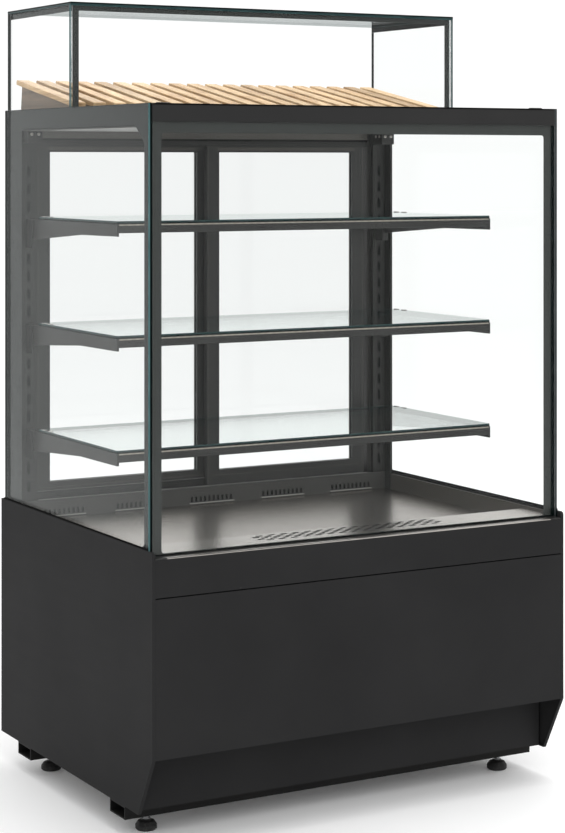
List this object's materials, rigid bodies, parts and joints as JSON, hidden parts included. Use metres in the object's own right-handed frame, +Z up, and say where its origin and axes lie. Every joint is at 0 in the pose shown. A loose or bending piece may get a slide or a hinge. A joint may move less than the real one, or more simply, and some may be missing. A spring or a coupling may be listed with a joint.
{
  "type": "pastry display case",
  "caption": "Chilled glass pastry display on a black metal base: lit glass shelves, sliding rear doors, tilting front window, roof bread case with a sloped wooden slat rack.",
  "frame": {"origin": "on the floor, under the centre of the overall bounding box", "axes": "+X to the right as seen from the front, +Y to the rear (staff side), +Z up"},
  "size_m": [0.9, 0.705, 1.531],
  "materials": {
    "panel_black": "satin powder coat",
    "frame_dark": "satin powder coat",
    "aluminium_dark": "dark anodised",
    "stainless": "brushed",
    "glass_clear": "clear float glass with green edges",
    "glass_printed": "clear float glass with a dark printed border",
    "rubber_black": "matte",
    "tub_skin": "foamed tub, dark skin",
    "plastic_black": "matte",
    "plastic_grey": "satin",
    "led_diffuser": "opal diffuser",
    "aluminium_fins": "bare",
    "zinc_steel": "zinc plated",
    "copper_pipe": "bare copper",
    "oak": "oiled light oak"
  },
  "bodies": {
    "cabinet": {"left_side_panel": "panel_black", "right_side_panel": "panel_black", "front_fascia": "panel_black", "lower_front_panel": "panel_black", "kick_panel": "panel_black", "cross_beams": "frame_dark", "base_frame": "zinc_steel", "service_grille": "panel_black", "insulated_tub": "tub_skin", "deck_plate": "stainless", "deck_front_ledge": "stainless", "deck_side_liners": "aluminium_dark", "front_lip": "stainless", "glass_seals": "rubber_black", "rear_air_outlet": "aluminium_dark", "evaporator_coil": "aluminium_fins", "evaporator_fan_housing": "zinc_steel", "compressor": "panel_black", "condenser_coil": "aluminium_fins", "condenser_fan_shroud": "panel_black", "refrigerant_pipes": "copper_pipe", "evaporation_tray": "plastic_black", "electrical_box": "plastic_grey", "control_panel": "plastic_black", "cable_gland": "plastic_black", "left_side_glass": "glass_printed", "right_side_glass": "glass_printed", "hinge_blocks": "zinc_steel", "roof_panel": "frame_dark", "rear_posts": "aluminium_dark", "door_tracks": "aluminium_dark", "slotted_uprights": "frame_dark", "led_lamps": "led_diffuser", "shelf_1_glass": "glass_clear", "shelf_2_glass": "glass_clear", "shelf_3_glass": "glass_clear", "shelf_brackets": "frame_dark", "shelf_front_rails": "aluminium_dark", "bread_case_front_glass": "glass_printed", "bread_case_side_glasses": "glass_printed", "bread_case_top_glass": "glass_printed", "rack_slats": "oak", "rack_frame": "oak"},
    "left_door": {"left_door_frame": "aluminium_dark", "left_door_glass": "glass_clear"},
    "right_door": {"right_door_frame": "aluminium_dark", "right_door_glass": "glass_clear"},
    "front_window": {"front_glass": "glass_printed", "header_profile": "aluminium_dark"},
    "evaporator_wheel": {"evaporator_fan": "plastic_black"},
    "condenser_wheel": {"condenser_fan": "plastic_black"},
    "foot_front_left_body": {"foot_front_left": "rubber_black"},
    "foot_front_right_body": {"foot_front_right": "rubber_black"},
    "foot_rear_left_body": {"foot_rear_left": "rubber_black"},
    "foot_rear_right_body": {"foot_rear_right": "rubber_black"},
    "key_set_body": {"key_set": "plastic_grey"},
    "key_down_body": {"key_down": "plastic_grey"},
    "key_up_body": {"key_up": "plastic_grey"},
    "power_switch_body": {"power_switch": "plastic_black"},
    "light_switch_body": {"light_switch": "plastic_black"}
  },
  "joints": [
    {"name": "left_door_slide", "type": "slide", "parent": "cabinet", "child": "left_door", "axis": [1, 0, 0], "range_m": [0, 0.376]},
    {"name": "right_door_slide", "type": "slide", "parent": "cabinet", "child": "right_door", "axis": [-1, 0, 0], "range_m": [0, 0.383]},
    {"name": "front_window_tilt", "type": "hinge", "parent": "cabinet", "child": "front_window", "pos_m": [0, -0.318, 1.322], "axis": [-1, 0, 0], "range_deg": [0, 80]},
    {"name": "evaporator_fan_spin", "type": "hinge", "parent": "cabinet", "child": "evaporator_wheel", "pos_m": [0, 0.032, 0.428], "axis": [0, 1, 0], "continuous": true},
    {"name": "condenser_fan_spin", "type": "hinge", "parent": "cabinet", "child": "condenser_wheel", "pos_m": [0.17, 0.176, 0.19], "axis": [0, 1, 0], "continuous": true},
    {"name": "foot_front_left_turn", "type": "hinge", "parent": "cabinet", "child": "foot_front_left_body", "pos_m": [-0.392, -0.208, 0.02], "axis": [0, 0, 1], "continuous": true},
    {"name": "foot_front_right_turn", "type": "hinge", "parent": "cabinet", "child": "foot_front_right_body", "pos_m": [0.392, -0.208, 0.02], "axis": [0, 0, 1], "continuous": true},
    {"name": "foot_rear_left_turn", "type": "hinge", "parent": "cabinet", "child": "foot_rear_left_body", "pos_m": [-0.392, 0.23, 0.02], "axis": [0, 0, 1], "continuous": true},
    {"name": "foot_rear_right_turn", "type": "hinge", "parent": "cabinet", "child": "foot_rear_right_body", "pos_m": [0.392, 0.23, 0.02], "axis": [0, 0, 1], "continuous": true},
    {"name": "key_set_press", "type": "slide", "parent": "cabinet", "child": "key_set_body", "axis": [0, -1, 0], "range_m": [0, 0.0012], "stiffness_N_per_m": 400, "springref_m": -0.001},
    {"name": "key_down_press", "type": "slide", "parent": "cabinet", "child": "key_down_body", "axis": [0, -1, 0], "range_m": [0, 0.0012], "stiffness_N_per_m": 400, "springref_m": -0.001},
    {"name": "key_up_press", "type": "slide", "parent": "cabinet", "child": "key_up_body", "axis": [0, -1, 0], "range_m": [0, 0.0012], "stiffness_N_per_m": 400, "springref_m": -0.001},
    {"name": "power_switch_rock", "type": "hinge", "parent": "cabinet", "child": "power_switch_body", "pos_m": [-0.319, 0.343, 0.426], "axis": [1, 0, 0], "range_deg": [-14, 0]},
    {"name": "light_switch_rock", "type": "hinge", "parent": "cabinet", "child": "light_switch_body", "pos_m": [-0.301, 0.343, 0.426], "axis": [1, 0, 0], "range_deg": [-14, 0]}
  ]
}
